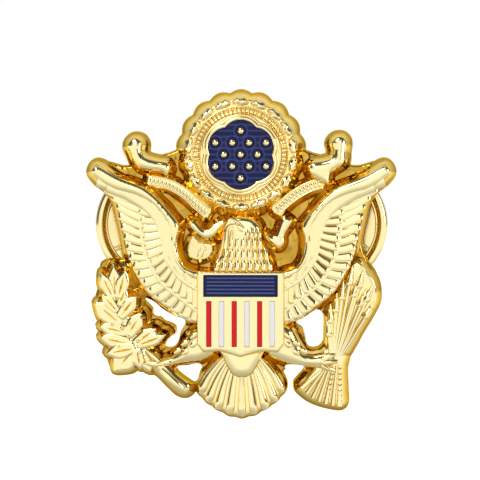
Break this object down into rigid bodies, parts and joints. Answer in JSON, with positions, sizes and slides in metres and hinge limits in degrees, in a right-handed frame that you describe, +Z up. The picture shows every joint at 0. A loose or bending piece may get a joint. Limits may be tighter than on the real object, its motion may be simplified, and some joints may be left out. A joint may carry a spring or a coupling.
{
  "type": "cap badge",
  "caption": "Gold-plated eagle cap badge with a shield and star field in coloured enamel, held by pins and butterfly clutches.",
  "frame": {"origin": "the flat back face of the casting, midway between its two pins", "axes": "+X to the right of the emblem as it is seen from the front, +Z up the emblem, +Y out of the back along the pins"},
  "size_m": [0.028, 0.0115, 0.0296],
  "materials": {
    "gold_casting": "polished gold plate on a die-cast relief, amber in the recesses",
    "navy_enamel": "glossy navy soft enamel",
    "red_enamel": "glossy red soft enamel",
    "white_enamel": "glossy white soft enamel",
    "pin_brass": "bright gold-plated wire",
    "clutch_gold": "gold-plated pressed sheet",
    "spring_steel": "bare spring strip"
  },
  "bodies": {
    "badge": {"badge_casting": "gold_casting", "star_field_enamel": "navy_enamel", "chief_enamel": "navy_enamel", "red_stripe_enamel_1": "red_enamel", "white_stripe_enamel_1": "white_enamel", "red_stripe_enamel_2": "red_enamel", "white_stripe_enamel_2": "white_enamel", "red_stripe_enamel_3": "red_enamel", "white_stripe_enamel_3": "white_enamel", "left_pin": "pin_brass", "right_pin": "pin_brass"},
    "left_clutch_slider": {"left_clutch_ferrule": "clutch_gold"},
    "left_clutch_rotor": {"left_clutch_disc": "clutch_gold", "left_clutch_cage": "clutch_gold", "left_clutch_grip_spring": "spring_steel"},
    "left_clutch_inner_wing_body": {"left_clutch_inner_wing": "clutch_gold"},
    "left_clutch_outer_wing_body": {"left_clutch_outer_wing": "clutch_gold"},
    "right_clutch_slider": {"right_clutch_ferrule": "clutch_gold"},
    "right_clutch_rotor": {"right_clutch_disc": "clutch_gold", "right_clutch_cage": "clutch_gold", "right_clutch_grip_spring": "spring_steel"},
    "right_clutch_inner_wing_body": {"right_clutch_inner_wing": "clutch_gold"},
    "right_clutch_outer_wing_body": {"right_clutch_outer_wing": "clutch_gold"}
  },
  "joints": [
    {"name": "left_clutch_slide", "type": "slide", "parent": "badge", "child": "left_clutch_slider", "axis": [0, 1, 0], "range_m": [-0.0006, 0.01]},
    {"name": "left_clutch_spin", "type": "hinge", "parent": "left_clutch_slider", "child": "left_clutch_rotor", "pos_m": [-0.00765, 0.0012, 0], "axis": [0, 1, 0], "continuous": true},
    {"name": "left_clutch_inner_wing_pinch", "type": "hinge", "parent": "left_clutch_rotor", "child": "left_clutch_inner_wing_body", "pos_m": [-0.00535, 0.0026, 0], "axis": [0, 0, 1], "range_deg": [0, 12], "stiffness_Nm_per_rad": 0.005},
    {"name": "left_clutch_outer_wing_pinch", "type": "hinge", "parent": "left_clutch_rotor", "child": "left_clutch_outer_wing_body", "pos_m": [-0.00995, 0.0026, 0], "axis": [0, 0, -1], "range_deg": [0, 12]},
    {"name": "right_clutch_slide", "type": "slide", "parent": "badge", "child": "right_clutch_slider", "axis": [0, 1, 0], "range_m": [-0.0006, 0.01]},
    {"name": "right_clutch_spin", "type": "hinge", "parent": "right_clutch_slider", "child": "right_clutch_rotor", "pos_m": [0.00765, 0.0012, 0], "axis": [0, 1, 0], "continuous": true},
    {"name": "right_clutch_inner_wing_pinch", "type": "hinge", "parent": "right_clutch_rotor", "child": "right_clutch_inner_wing_body", "pos_m": [0.00535, 0.0026, 0], "axis": [0, 0, -1], "range_deg": [0, 12], "stiffness_Nm_per_rad": 0.005},
    {"name": "right_clutch_outer_wing_pinch", "type": "hinge", "parent": "right_clutch_rotor", "child": "right_clutch_outer_wing_body", "pos_m": [0.00995, 0.0026, 0], "axis": [0, 0, 1], "range_deg": [0, 12]}
  ],
  "couplings": [
    {"joint": "left_clutch_outer_wing_pinch", "follows": "left_clutch_inner_wing_pinch", "ratio": 1},
    {"joint": "right_clutch_outer_wing_pinch", "follows": "right_clutch_inner_wing_pinch", "ratio": 1}
  ]
}
